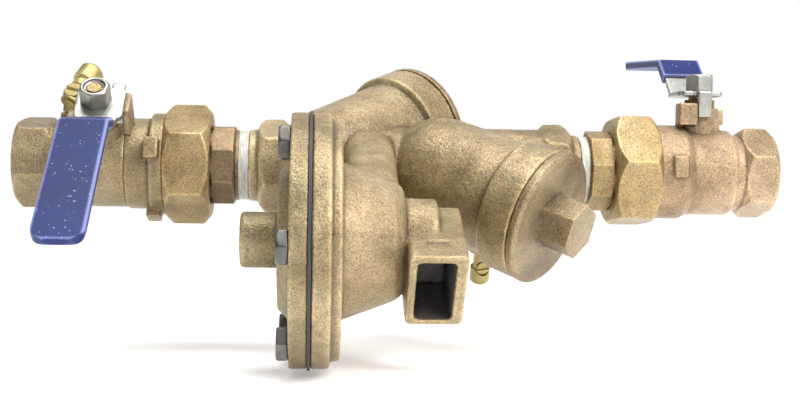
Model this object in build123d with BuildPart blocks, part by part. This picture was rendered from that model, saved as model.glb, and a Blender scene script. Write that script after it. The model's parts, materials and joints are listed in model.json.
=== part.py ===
from build123d import *
import os
from math import cos, radians, sin, sqrt

# Reduced-pressure-zone backflow preventer, 1 inch, with two union ball valves.
# Millimetres. +X is the flow direction, +Z is up, and the origin is the centre of the
# inlet face. The checks, the relief valve and the vent share one plane, which is rolled
# by ROLL about the pipe axis. Both ball valves are closed.

# ---------------------------------------------------------------- driving dimensions
ROLL = 25.0  # roll of the body's own plane about the pipe axis, degrees
INLET_STEM_ROLL = 43.5  # lean of the inlet valve's stem towards -Y, degrees
FIT = 0.05  # radial running clearance
SLACK = 0.3  # gap between parts that don't touch

# pipe threads, 1 inch NPT
THREAD_R = 16.7
FEMALE_R = 15.4
FEMALE_LENGTH = 17.0
PORT_R = 12.5

# main body along the pipe
BODY_IN = 113.8
BODY_OUT = 280.4
BOSS_R = 18.0
BOSS_FLATS = 41.0
BOSS_COLLAR = 5.0
BOSS_HEX = 15.0
RUN_R = 20.5
BODY_THREAD = 17.0

# the two check valves: where their axes cross the pipe axis, and distances along them
CHECK_X = (150.0, 204.0)
CHECK_SIDE = (1, -1)
CHECK_ANGLE = (45.0, 41.0)  # between the pipe axis and the check's own axis
CHECK_ROLL = (25.0, 29.0)
SHOULDER_AT = 8.0
NECK_R = (28.0, 29.4)
COLLAR_AT = 51.5
COLLAR_R = 33.0
RIM_AT = 69.6
CHAMBER_R = 24.0
CHAMBER_AT = 9.0
CAP_THREAD_AT = 57.0
CAP_THREAD_R = 27.0
CAP_FLANGE_AT = 70.4
CAP_FACE = 74.6
CAP_HEX_TOP = 91.3
CAP_HEX_FLATS = 24.0
SEAT_R = 15.0
SEAT_PORT_R = 10.5
SEAT_AT = 3.0
SEAT_TOP = 10.5
CHECK_TRAVEL = 8.0
GUIDE_R = 5.0

# relief valve: its axis runs along the pipe, below it in the body's own plane
RELIEF_DROP = 79.0
FLANGE_R = 57.4
FLANGE_STEP_R = 54.0
COVER_FACE = 136.2
GASKET_AT = 144.3
HOUSING_AT = 145.7
HOUSING_STEP = 154.2
HOUSING_BACK = 158.7
CONE_R = (36.0, 25.5)
CONE_END = 187.0
SPINDLE_BOSS = (19.5, 202.0)  # radius and end of the boss beyond the cone
BOLT_CIRCLE_R = 50.0
BOLT_R = 4.75
BOLT_FLATS = 14.3
BOLT_HEAD = 5.2
BOLT_END = 153.0
DIAPHRAGM_R = 42.0
RELIEF_SEAT_AT = 181.0
RELIEF_TRAVEL = 5.0
STEM_R = 4.0
SPINDLE_END = 206.5

# neck that joins the run to the relief housing
NECK_X = 173.0
NECK_SIDES = (25.0, 50.0)
NECK_SLOPE = 0.065
NECK_CORE_R = 7.0

# vent box below the relief seat
VENT_X = (187.4, 213.3)
VENT_HOLE_X = (191.2, 208.1)
VENT_HEIGHTS = (-28.3, 12.3)
VENT_HOLE_HEIGHTS = (-25.3, 8.6)
VENT_DROPS = (104.8, 115.7)
VENT_BACK = 68.0
VENT_WALL = 3.5
VENT_CORNER = 2.2

# ball valves, distances along the pipe from the ball's centre, union side positive
VALVE_X = (42.0, 344.2)
OUTLET_END = 380.7
HEX_END_FLATS = 40.5
VALVE_R = 21.8
BALL_R = 17.5
CAVITY_R = 17.9
PLUG_R = 19.4
PLUG_AT = 7.6
SEAM_AT = (12.0, -15.2)  # where the screwed-in ends meet the valve bodies
UNION_AT = (30.7, 24.7)  # start of the unions' male threads
SEAT_RING = (9.0, 15.5)
SEAT_RING_R = 16.5
STEM_SHANK_R = 5.5
GLAND_R = 8.5
TOWER_R = 10.0
TOWER_TOP = 33.0
LEVER_AT = 38.8
LEVER_THICK = 2.5
LEVER_WIDTH = 20.0
GRIP_SHIFT = 1.1
COAT = 1.2
LEVER_HOLE_R = 3.9
LEVER_NUT_FLATS = 13.2
LEVER_NUT_TOP = 50.3
LEVER_NUT_TURN = (20.0, 10.0)
# stop tab under each lever: its centre, its two sides and the height of its lower end
STOP_TAB = (((11.8, -6.7), (3.2, 5.0), 34.5), ((0.6, 11.5), (6.8, 2.4), 28.0))

# the two test cocks: centre of the cock and end of its threaded foot
INLET_COCK = (26.4, 1.0, 33.4)
INLET_COCK_FOOT = (24.6, 2.0, 18.0)
LOWER_COCK = (231.0, -27.0, -41.0)
LOWER_COCK_FOOT = (231.0, -27.0, -25.0)
COCK_R = 4.8
COCK_FOOT_R = 3.5

# unions
UNION_THREAD_R = 23.5
UNION_NUT_FLATS = 52.0
UNION_NUT_LENGTH = 22.6
UNION_THREAD = 11.3
TAIL_FLATS = 38.2
TAIL_BORE_R = 12.5

os.makedirs("parts", exist_ok=True)


# ---------------------------------------------------------------- frames and helpers
def rolled(angle, x=0.0, forward=1):
    """Plane through the pipe axis at x whose normal leans by angle from +Z towards -Y."""
    lean = radians(angle)
    return Plane(origin=(x, 0, 0), x_dir=(forward, 0, 0), z_dir=(0, -sin(lean), cos(lean)))


BODY = rolled(ROLL)


def in_body(x, along_y, along_z):
    """World point of a position in the body's own rolled frame."""
    return BODY.from_local_coords(Vector(x, along_y, along_z))


def body_plane(origin, x_dir, z_dir):
    """Plane given by an origin and two directions in the body's own rolled frame."""
    return Plane(origin=in_body(*origin), x_dir=in_body(*x_dir), z_dir=in_body(*z_dir))


def across(x):
    """Plane square to the pipe at x, its local x along +Y and local y along +Z."""
    return Plane(origin=(x, 0, 0), x_dir=(0, 1, 0), z_dir=(1, 0, 0))


def check_frame(number):
    """Plane whose x axis is the check's own axis, from the pipe axis outwards."""
    side = CHECK_SIDE[number]
    angle = radians(CHECK_ANGLE[number])
    level = rolled(CHECK_ROLL[number], CHECK_X[number])
    outwards = level.x_dir * cos(angle) + level.y_dir * (side * sin(angle))
    return Plane(origin=level.origin, x_dir=outwards, z_dir=level.z_dir)


def relief_frame():
    """Plane whose x axis is the relief valve's axis, with x counted from the inlet face."""
    return body_plane((0, -RELIEF_DROP, 0), (1, 0, 0), (0, 0, 1))


def axis_of(frame):
    return Axis(frame.origin, frame.x_dir)


def square_to(frame, distance):
    """Plane square to the frame's x axis, at a distance along it."""
    return Plane(
        origin=frame.from_local_coords(Vector(distance, 0, 0)),
        x_dir=frame.y_dir,
        z_dir=frame.x_dir,
    )


def turned(frame, *section):
    """Solid turned about the frame's x axis from the points (distance, radius) of half a section."""
    with BuildPart() as solid:
        with BuildSketch(frame):
            with BuildLine():
                Polyline(*section, close=True)
            make_face()
        revolve(axis=axis_of(frame))
    return solid.part


def ring(frame, start, end, inner, outer):
    """Ring, or a disc where inner is 0, about the frame's x axis."""
    return turned(frame, (start, inner), (end, inner), (end, outer), (start, outer))


def o_ring(frame, distance, centre_r, wire_r):
    """Round-section ring about the frame's x axis."""
    with BuildPart() as solid:
        with BuildSketch(frame):
            with Locations((distance, centre_r)):
                Circle(wire_r)
        revolve(axis=axis_of(frame))
    return solid.part


def prism(plane, flats, sides, length, turn=0.0):
    """Regular prism given across its flats, standing on the plane."""
    with BuildPart() as solid:
        with BuildSketch(plane):
            RegularPolygon(flats / 2, sides, major_radius=False, rotation=turn)
        extrude(amount=length)
    return solid.part


def block(plane, width, height, length, centre=(0, 0), corner=0.0):
    """Rectangular block standing on the plane, with rounded corners where asked."""
    with BuildPart() as solid:
        with BuildSketch(plane):
            with Locations(centre):
                if corner:
                    RectangleRounded(width, height, corner)
                else:
                    Rectangle(width, height)
        extrude(amount=length)
    return solid.part


def rod(plane, radius, length, centre=(0, 0)):
    """Cylinder standing on the plane."""
    with BuildPart() as solid:
        with BuildSketch(plane):
            with Locations(centre):
                Circle(radius)
        extrude(amount=length)
    return solid.part


def chamfered_hex(plane, frame, start, end, flats, turn, ends=(True, True)):
    """Hexagonal nut blank whose chosen ends are chamfered down to the flats."""
    corner_r = flats / sqrt(3)
    rim_r = flats / 2 - 0.3
    drop = (corner_r - rim_r) * 0.9
    left = rim_r if ends[0] else corner_r + 1
    right = rim_r if ends[1] else corner_r + 1
    cone = turned(
        frame,
        (start, 0),
        (start, left),
        (start + drop, corner_r + 0.05),
        (end - drop, corner_r + 0.05),
        (end, right),
        (end, 0),
    )
    with BuildPart() as nut:
        add(prism(plane, flats, 6, end - start, turn))
        add(cone, mode=Mode.INTERSECT)
    return nut.part


def spring(frame, start, end, centre_r, wire_r, turns):
    """Open coil spring about the frame's x axis."""
    length = end - start - 2 * wire_r
    foot = frame.from_local_coords(Vector(start + wire_r, 0, 0))
    with BuildPart() as solid:
        with BuildLine():
            coil = Helix(length / turns, length, centre_r, center=foot, direction=frame.x_dir)
        with BuildSketch(Plane(origin=coil @ 0, z_dir=coil % 0)):
            Circle(wire_r)
        sweep(path=coil, is_frenet=True)
    return solid.part


def write(solid, name):
    solid.label = name
    export_step(solid, f"parts/{name}.step")


# ---------------------------------------------------------------- main body
def vent_shaft(x_range, heights, back, length, corner):
    """Rounded box that runs away from the pipe, in the casting's rolled frame."""
    centre = (sum(x_range) / 2, -back, sum(heights) / 2)
    plane = body_plane(centre, (1, 0, 0), (0, -1, 0))
    return block(plane, x_range[1] - x_range[0], heights[1] - heights[0], length, corner=corner)


def vent_box():
    """Outside of the vent, cut off slanting at its mouth."""
    with BuildPart() as box:
        with BuildSketch(body_plane((VENT_X[0], 0, 0), (0, 1, 0), (1, 0, 0))):
            with BuildLine():
                Polyline(
                    (-VENT_BACK, VENT_HEIGHTS[0]),
                    (-VENT_BACK, VENT_HEIGHTS[1]),
                    (-VENT_DROPS[1], VENT_HEIGHTS[1]),
                    (-VENT_DROPS[0], VENT_HEIGHTS[0]),
                    close=True,
                )
            make_face()
        extrude(amount=VENT_X[1] - VENT_X[0])
        length = VENT_DROPS[1] - VENT_BACK + 1
        outline = vent_shaft(VENT_X, VENT_HEIGHTS, VENT_BACK, length, VENT_CORNER)
        add(outline, mode=Mode.INTERSECT)
    return box.part


def body_outside():
    """The casting's outer shape: bosses, run, check barrels, relief housing and vent box."""
    relief = relief_frame()
    with BuildPart() as outside:
        add(ring(BODY, BODY_IN, BODY_OUT, 0, BOSS_R))
        add(ring(BODY, BODY_IN + BOSS_COLLAR + 10, BODY_OUT - BOSS_COLLAR - 10, 0, RUN_R))
        for start in (BODY_IN + BOSS_COLLAR, BODY_OUT - BOSS_COLLAR - BOSS_HEX):
            add(chamfered_hex(across(start), BODY, start, start + BOSS_HEX, BOSS_FLATS, 25))
        for number in (0, 1):
            frame = check_frame(number)
            with BuildSketch(frame):
                with BuildLine():
                    Line((SHOULDER_AT - NECK_R[0], 0), (SHOULDER_AT, 0))
                    Line((SHOULDER_AT, 0), (SHOULDER_AT, NECK_R[0]))
                    CenterArc((SHOULDER_AT, 0), NECK_R[0], 90, 90)
                make_face()
            revolve(axis=axis_of(frame))
            barrel = turned(
                frame,
                (SHOULDER_AT, 0),
                (SHOULDER_AT, NECK_R[0]),
                (COLLAR_AT, NECK_R[1]),
                (COLLAR_AT + 1.5, COLLAR_R),
                (RIM_AT, COLLAR_R),
                (RIM_AT, 0),
            )
            add(barrel)
        housing = turned(
            relief,
            (HOUSING_AT, 0),
            (HOUSING_AT, FLANGE_R),
            (HOUSING_STEP, FLANGE_R),
            (HOUSING_STEP, FLANGE_STEP_R),
            (HOUSING_BACK, FLANGE_STEP_R),
            (HOUSING_BACK, CONE_R[0]),
            (CONE_END - 4.5, CONE_R[1] + 1.7),
            (CONE_END - 1.3, CONE_R[1] - 0.4),
            (CONE_END, CONE_R[1] - 3.2),
            (CONE_END, SPINDLE_BOSS[0]),
            (SPINDLE_BOSS[1] - 1.2, SPINDLE_BOSS[0]),
            (SPINDLE_BOSS[1], SPINDLE_BOSS[0] - 1.2),
            (SPINDLE_BOSS[1], 0),
        )
        add(housing)
        neck = body_plane((NECK_X, -8, -2), (1, 0, 0), (0, -1, NECK_SLOPE))
        add(block(neck, *NECK_SIDES, 62, corner=9))
        add(vent_box())
        add(rod(body_plane((231, -27, -21), (1, 0, 0), (0, 0, -1)), 8.0, 10.6))
    return outside.part


def body_cavities():
    """Everything cored or drilled out of the casting, as one tool body."""
    relief = relief_frame()
    cavities = [
        ring(BODY, BODY_IN - 1, BODY_IN + BODY_THREAD, 0, THREAD_R),
        ring(BODY, BODY_IN, CHECK_X[0] - 6, 0, PORT_R),
        ring(BODY, BODY_OUT - BODY_THREAD, BODY_OUT + 1, 0, THREAD_R),
        ring(BODY, CHECK_X[1] + 18, BODY_OUT - 10, 0, PORT_R),
        ring(BODY, CHECK_X[0] + 18, CHECK_X[1] - 6, 0, 12.0),
        rod(body_plane((NECK_X, 0, 0), (1, 0, 0), (0, -1, 0)), NECK_CORE_R, RELIEF_DROP - 17),
        rod(body_plane((150, -12, 0), (1, 0, 0), (0, -1, 0)), 2.0, 23),
        rod(body_plane((151, -33, 0), (0, 1, 0), (-1, 0, 0)), 2.0, 8),
        ring(relief, HOUSING_AT - 1, HOUSING_STEP, 0, DIAPHRAGM_R),
        ring(relief, HOUSING_STEP - 1, 166.0, 0, 26.0),
        ring(relief, 165.0, RELIEF_SEAT_AT, 0, 21.0),
        ring(relief, 180.0, VENT_HOLE_X[0] + 1, 0, 13.0),
        ring(relief, VENT_HOLE_X[1] - 1, SPINDLE_END + RELIEF_TRAVEL + 1.5, 0, STEM_R + FIT),
        rod(body_plane((231, -27, -34), (1, 0, 0), (0, 0, 1)), COCK_FOOT_R + FIT, 9),
        rod(body_plane((231, -27, -26), (1, 0, 0), (0, 0, 1)), 2.0, 12),
    ]
    for number in (0, 1):
        frame = check_frame(number)
        cavities.append(ring(frame, -10, SEAT_AT + 1, 0, 11.5))
        cavities.append(ring(frame, SEAT_AT, CHAMBER_AT + 1, 0, SEAT_R))
        cavities.append(ring(frame, CHAMBER_AT, CAP_THREAD_AT + 1, 0, CHAMBER_R))
        cavities.append(ring(frame, CAP_THREAD_AT, RIM_AT + 1, 0, CAP_THREAD_R))
    hole_back = VENT_BACK + VENT_WALL
    cavities.append(vent_shaft(VENT_HOLE_X, VENT_HOLE_HEIGHTS, hole_back, 50, VENT_CORNER))
    with BuildPart() as tool:
        for cavity in cavities:
            add(cavity)
    return tool.part


def bolt_planes(x):
    """Planes at the cover bolts' centres at x, facing along the relief axis."""
    planes = []
    for index in range(6):
        turn = radians(ROLL + 60 * index)
        along_y = -RELIEF_DROP - BOLT_CIRCLE_R * cos(turn)
        along_z = BOLT_CIRCLE_R * sin(turn)
        planes.append(body_plane((x, along_y, along_z), (0, 1, 0), (1, 0, 0)))
    return planes


def bolt_rods(x, radius, length):
    """Six cylinders on the bolt circle."""
    return [rod(plane, radius, length) for plane in bolt_planes(x)]


def make_body():
    outside = body_outside()
    inside = body_cavities()
    with BuildPart() as body:
        add(outside)
        add(inside, mode=Mode.SUBTRACT)
        for hole in bolt_rods(HOUSING_AT - 1, BOLT_R, BOLT_END + 0.8 - HOUSING_AT + 1):
            add(hole, mode=Mode.SUBTRACT)
    write(body.part, "body")


# ---------------------------------------------------------------- check valves
def make_check(number):
    """One spring-loaded check: seat, poppet with its disc and screw, spring, cap and seals."""
    frame = check_frame(number)
    name = f"check_{number + 1}"
    disc_top = SEAT_TOP + 3.0
    holder_top = disc_top + 3.0
    guide_top = 52.0

    with BuildPart() as seat:
        section = (
            (SEAT_AT, SEAT_PORT_R),
            (SEAT_TOP, SEAT_PORT_R),
            (SEAT_TOP, SEAT_PORT_R + 1.2),
            (CHAMBER_AT, SEAT_PORT_R + 2.4),
            (CHAMBER_AT, SEAT_R - FIT),
            (7.4, SEAT_R - FIT),
            (7.4, SEAT_R - 2.35),
            (4.8, SEAT_R - 2.35),
            (4.8, SEAT_R - FIT),
            (SEAT_AT, SEAT_R - FIT),
        )
        add(turned(frame, *section))
    write(seat.part, f"{name}_seat")

    with BuildPart() as seal:
        add(o_ring(frame, 6.1, SEAT_R - 1.2, 1.1))
    write(seal.part, f"{name}_seat_o_ring")

    with BuildPart() as disc:
        add(ring(frame, SEAT_TOP, disc_top, 2.5, 15.0))
    write(disc.part, f"{name}_seal_disc")

    with BuildPart() as retainer:
        add(ring(frame, SEAT_TOP - 1.6, SEAT_TOP, 0, 7.5))
        add(prism(square_to(frame, SEAT_TOP - 4.6), 7.0, 6, 3.0))
        add(ring(frame, SEAT_TOP, 24.0, 0, 2.5))
    write(retainer.part, f"{name}_disc_screw")

    with BuildPart() as poppet:
        section = (
            (disc_top, 2.5),
            (24.0, 2.5),
            (24.0, 0),
            (guide_top, 0),
            (guide_top, GUIDE_R - 0.8),
            (guide_top - 0.8, GUIDE_R),
            (22.0, GUIDE_R),
            (holder_top, 8.0),
            (holder_top, 17.5),
            (SEAT_TOP + 0.8, 17.5),
            (SEAT_TOP + 0.8, 15.0),
            (disc_top, 15.0),
        )
        add(turned(frame, *section))
    write(poppet.part, f"{name}_poppet")

    write(spring(frame, holder_top, 60.0, 10.5, 0.9, 6), f"{name}_spring")

    with BuildPart() as cap:
        section = (
            (44.0, GUIDE_R + FIT),
            (guide_top + CHECK_TRAVEL + 6.0, GUIDE_R + FIT),
            (guide_top + CHECK_TRAVEL + 6.0, 0),
            (CAP_FACE, 0),
            (CAP_FACE, COLLAR_R - 1.2),
            (CAP_FACE - 1.2, COLLAR_R + 0.2),
            (CAP_FLANGE_AT, COLLAR_R + 0.2),
            (CAP_FLANGE_AT, CAP_THREAD_R - FIT),
            (69.0, CAP_THREAD_R - FIT),
            (69.0, CAP_THREAD_R - 2.6),
            (66.2, CAP_THREAD_R - 2.6),
            (66.2, CAP_THREAD_R - FIT),
            (58.0, CAP_THREAD_R - FIT),
            (58.0, 22.0),
            (60.0, 22.0),
            (60.0, 8.0),
            (44.0, 7.2),
        )
        add(turned(frame, *section))
        hexagon = prism(square_to(frame, CAP_FACE), CAP_HEX_FLATS, 6, CAP_HEX_TOP - CAP_FACE, 12)
        add(hexagon)
    write(cap.part, f"{name}_cap")

    with BuildPart() as cap_seal:
        add(o_ring(frame, 67.6, CAP_THREAD_R - 1.3, 1.2))
    write(cap_seal.part, f"{name}_cap_o_ring")


# ---------------------------------------------------------------- relief valve
def make_relief_cover():
    relief = relief_frame()
    with BuildPart() as cover:
        section = (
            (113.8, 0),
            (113.8, 11.4),
            (115.0, 12.6),
            (130.8, 12.6),
            (130.8, 31.0),
            (COVER_FACE, 36.0),
            (COVER_FACE, FLANGE_R),
            (GASKET_AT, FLANGE_R),
            (GASKET_AT, DIAPHRAGM_R),
            (140.0, DIAPHRAGM_R - 2),
            (139.6, 27.0),
            (134.6, 25.0),
            (134.6, 0),
        )
        add(turned(relief, *section))
        # groove that joins the sensing hole in the body to the chamber under the cover
        groove_plane = body_plane((GASKET_AT, -36.0, 0), (0, 1, 0), (-1, 0, 0))
        add(block(groove_plane, 10.0, 4.4, 3.0), mode=Mode.SUBTRACT)
        for hole in bolt_rods(COVER_FACE - 1, BOLT_R + SLACK, GASKET_AT - COVER_FACE + 2):
            add(hole, mode=Mode.SUBTRACT)
    write(cover.part, "relief_cover")


def make_relief_bolts():
    with BuildPart() as bolts:
        for plane in bolt_planes(COVER_FACE - BOLT_HEAD):
            axis = Plane(origin=plane.origin, x_dir=plane.z_dir, z_dir=plane.x_dir)
            add(chamfered_hex(plane, axis, 0, BOLT_HEAD, BOLT_FLATS, 30, (True, False)))
            add(rod(plane.offset(BOLT_HEAD), BOLT_R, BOLT_END - COVER_FACE))
    write(bolts.part, "cover_bolts")


def make_relief_inside():
    relief = relief_frame()

    with BuildPart() as diaphragm:
        add(ring(relief, GASKET_AT, HOUSING_AT, STEM_R, FLANGE_R + 0.8))
        for hole in bolt_rods(GASKET_AT - 1, BOLT_R + SLACK, HOUSING_AT - GASKET_AT + 2):
            add(hole, mode=Mode.SUBTRACT)
        sensing = rod(body_plane((GASKET_AT - 1, -33, 0), (0, 1, 0), (1, 0, 0)), 2.0, 4)
        add(sensing, mode=Mode.SUBTRACT)
    write(diaphragm.part, "relief_diaphragm")

    with BuildPart() as plate:
        section = (
            (HOUSING_AT, STEM_R),
            (HOUSING_AT, 33.0),
            (HOUSING_AT + 1.6, 34.0),
            (HOUSING_AT + 2.8, 34.0),
            (HOUSING_AT + 2.8, 9.0),
            (HOUSING_AT + 7.0, 7.5),
            (HOUSING_AT + 7.0, STEM_R),
        )
        add(turned(relief, *section))
    write(plate.part, "relief_diaphragm_plate")

    with BuildPart() as clamp:
        add(ring(relief, GASKET_AT - 1.6, GASKET_AT, STEM_R, 24.0))
        add(prism(square_to(relief, GASKET_AT - 6.0), 13.0, 6, 4.4))
        add(ring(relief, GASKET_AT - 7, GASKET_AT - 1, 0, STEM_R), mode=Mode.SUBTRACT)
    write(clamp.part, "relief_diaphragm_nut")

    with BuildPart() as stem:
        section = (
            (GASKET_AT - 7.0, 0),
            (GASKET_AT - 7.0, STEM_R),
            (167.5, STEM_R),
            (167.5, 14.5),
            (170.5, 14.5),
            (170.5, STEM_R),
            (SPINDLE_END, STEM_R),
            (SPINDLE_END, 0),
        )
        add(turned(relief, *section))
    write(stem.part, "relief_stem")

    with BuildPart() as disc:
        add(ring(relief, 170.5, 173.5, STEM_R, 13.5))
    write(disc.part, "relief_seal_disc")

    with BuildPart() as disc_nut:
        add(prism(square_to(relief, 173.5), 12.0, 6, 4.0))
        add(ring(relief, 173, 178, 0, STEM_R), mode=Mode.SUBTRACT)
    write(disc_nut.part, "relief_disc_nut")

    with BuildPart() as seat:
        section = (
            (178.5, 9.5),
            (178.5, 10.7),
            (179.6, 11.6),
            (179.6, 16.5),
            (RELIEF_SEAT_AT, 16.5),
            (RELIEF_SEAT_AT, 13.0 - FIT),
            (182.6, 13.0 - FIT),
            (182.6, 10.9),
            (185.2, 10.9),
            (185.2, 13.0 - FIT),
            (188.0, 13.0 - FIT),
            (188.0, 9.5),
        )
        add(turned(relief, *section))
    write(seat.part, "relief_seat")

    with BuildPart() as seal:
        add(o_ring(relief, 183.9, 11.95, 1.0))
    write(seal.part, "relief_seat_o_ring")

    write(spring(relief, HOUSING_AT + 2.8, 166.0, 23.4, 1.2, 3), "relief_spring")


# ---------------------------------------------------------------- ball valves
def valve_frame(number):
    """Frame at the ball's centre: x towards the main body, z along the valve stem."""
    if number == 0:
        return rolled(INLET_STEM_ROLL, VALVE_X[0], 1)
    return rolled(0, VALVE_X[1], -1)


def sphere_at(frame, radius):
    """Sphere about the frame's origin, with its poles on the frame's x axis."""
    with BuildPart() as solid:
        with BuildSketch(frame):
            with BuildLine():
                Line((-radius, 0), (radius, 0))
                CenterArc((0, 0), radius, 0, 180)
            make_face()
        revolve(axis=axis_of(frame))
    return solid.part


def stem_hole(frame, start, end, radius):
    """Cylinder along the valve's stem axis."""
    return rod(frame.offset(start), radius, end - start)


def tower_outside(frame, number):
    """Cast tower round the stem, with the two stop lugs for the lever."""
    with BuildPart() as tower:
        add(stem_hole(frame, 14, TOWER_TOP, TOWER_R - 0.4))
        add(block(frame.offset(16), 20.0, 16.0, 12.0, corner=6))
        if number == 0:
            add(block(frame.offset(22), 10.0, 12.0, 9.0, centre=(10.6, 3.0), corner=1.5))
            add(block(frame.offset(22), 3.4, 14.0, 16.0, centre=(13.9, 3.0), corner=1.2))
            add(block(frame.offset(22), 7.6, 8.0, 15.0, centre=(-9.6, -6.0), corner=1.5))
        else:
            add(block(frame.offset(24), 9.8, 9.0, 11.0, centre=(9.2, 9.2), corner=1.5))
            add(block(frame.offset(25), 7.6, 9.0, 8.0, centre=(-10.6, -8.3), corner=1.5))
    return tower.part


def tower_inside(frame):
    """Stem bore, blow-out shoulder recess and packing gland."""
    with BuildPart() as tool:
        add(stem_hole(frame, 10, TOWER_TOP + 1, STEM_SHANK_R + FIT))
        add(stem_hole(frame, 10, 20.6, 7.3))
        add(stem_hole(frame, 24, TOWER_TOP + 6, GLAND_R))
    return tool.part


def cock_foot(centre, foot):
    """Plane at a test cock's foot, facing the cock."""
    start = Vector(*foot)
    return Plane(origin=start, x_dir=(1, 0, 0), z_dir=Vector(*centre) - start)


def make_inlet_body():
    frame = valve_frame(0)
    pipe = rolled(0)
    start = -VALVE_X[0]
    foot = cock_foot(INLET_COCK, INLET_COCK_FOOT)
    with BuildPart() as body:
        add(chamfered_hex(across(0), pipe, 0, 19.0, HEX_END_FLATS, 15))
        section = (
            (start + 16, 0),
            (start + 16, 20.4),
            (start + 21, VALVE_R),
            (SEAM_AT[0], VALVE_R),
            (SEAM_AT[0], 0),
        )
        add(turned(frame, *section))
        add(tower_outside(frame, 0))
        add(rod(foot.offset(-1), 5.6, 7.6))
        add(tower_inside(frame), mode=Mode.SUBTRACT)
        add(ring(frame, start - 1, start + FEMALE_LENGTH, 0, FEMALE_R), mode=Mode.SUBTRACT)
        add(ring(frame, start, -SEAT_RING[1], 0, PORT_R), mode=Mode.SUBTRACT)
        add(ring(frame, -SEAT_RING[1], 0, 0, SEAT_RING_R + FIT), mode=Mode.SUBTRACT)
        add(ring(frame, -SEAT_RING[0], SEAM_AT[0] + 1, 0, CAVITY_R), mode=Mode.SUBTRACT)
        add(ring(frame, PLUG_AT, SEAM_AT[0] + 1, 0, PLUG_R), mode=Mode.SUBTRACT)
        add(ring(frame, SEAM_AT[0], 22, 0, 22.9), mode=Mode.SUBTRACT)
        add(rod(foot, COCK_FOOT_R + FIT, 17.0), mode=Mode.SUBTRACT)
        add(rod(foot.offset(-9), 1.6, 12.0), mode=Mode.SUBTRACT)
    write(body.part, "inlet_valve_body")


def make_inlet_union_end():
    """Screwed-in end of the inlet valve, with wrench lugs and the union's male thread."""
    frame = valve_frame(0)
    rim = UNION_AT[0]
    with BuildPart() as end:
        section = (
            (PLUG_AT, CAVITY_R),
            (PLUG_AT, PLUG_R - FIT),
            (SEAM_AT[0], PLUG_R - FIT),
            (SEAM_AT[0], 22.0),
            (SEAM_AT[0] + 0.7, 22.6),
            (rim - 7.2, 22.6),
            (rim - 6.4, 25.2),
            (rim, 25.2),
            (rim, UNION_THREAD_R - FIT),
            (rim + UNION_THREAD, UNION_THREAD_R - FIT),
            (rim + UNION_THREAD, PORT_R),
            (SEAT_RING[1], PORT_R),
            (SEAT_RING[1], SEAT_RING_R + FIT),
            (SEAT_RING[0], SEAT_RING_R + FIT),
            (SEAT_RING[0], CAVITY_R),
        )
        add(turned(frame, *section))
        for turn in (73, 163, 253):
            lean = radians(turn)
            out = (0, -sin(lean), cos(lean))
            foot = Plane(origin=(VALVE_X[0] + rim - 5.2, 0, 0), x_dir=(1, 0, 0), z_dir=out)
            add(block(foot.offset(21.5), 7.0, 10.5, 7.2, corner=0.8))
    write(end.part, "inlet_union_end")


def make_outlet_body():
    frame = valve_frame(1)
    rim = UNION_AT[1]
    seam = SEAM_AT[1]
    with BuildPart() as body:
        section = (
            (seam, 0),
            (seam, VALVE_R - 1),
            (seam + 1.2, VALVE_R),
            (7.4, VALVE_R),
            (10.9, 24.0),
            (rim, 24.0),
            (rim, UNION_THREAD_R - FIT),
            (rim + UNION_THREAD, UNION_THREAD_R - FIT),
            (rim + UNION_THREAD, 0),
        )
        add(turned(frame, *section))
        add(tower_outside(frame, 1))
        lug = Plane(origin=(VALVE_X[1] - 15.5, 0, 0), x_dir=(1, 0, 0), z_dir=(0, -1, 0.12))
        add(block(lug.offset(20), 7.0, 11.0, 5.4, corner=0.8))
        add(tower_inside(frame), mode=Mode.SUBTRACT)
        add(ring(frame, 0, rim + UNION_THREAD + 1, 0, PORT_R), mode=Mode.SUBTRACT)
        add(ring(frame, 0, SEAT_RING[1], 0, SEAT_RING_R + FIT), mode=Mode.SUBTRACT)
        add(ring(frame, seam - 1, SEAT_RING[0], 0, CAVITY_R), mode=Mode.SUBTRACT)
        add(ring(frame, seam - 1, -PLUG_AT, 0, PLUG_R), mode=Mode.SUBTRACT)
    write(body.part, "outlet_valve_body")


def make_outlet_hex_end():
    """Screwed-in female end of the outlet valve."""
    frame = valve_frame(1)
    hex_x = 364.0
    mouth = VALVE_X[1] - OUTLET_END
    with BuildPart() as end:
        add(chamfered_hex(across(hex_x), rolled(0), hex_x, OUTLET_END, HEX_END_FLATS, 39))
        add(ring(frame, VALVE_X[1] - hex_x - 1, -PLUG_AT, 0, PLUG_R - FIT))
        add(ring(frame, -40, 0, 0, PORT_R), mode=Mode.SUBTRACT)
        add(ring(frame, -SEAT_RING[1], 0, 0, SEAT_RING_R + FIT), mode=Mode.SUBTRACT)
        add(ring(frame, -SEAT_RING[0], 0, 0, CAVITY_R), mode=Mode.SUBTRACT)
        add(ring(frame, mouth - 1, mouth + FEMALE_LENGTH, 0, FEMALE_R), mode=Mode.SUBTRACT)
    write(end.part, "outlet_hex_end")


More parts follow.
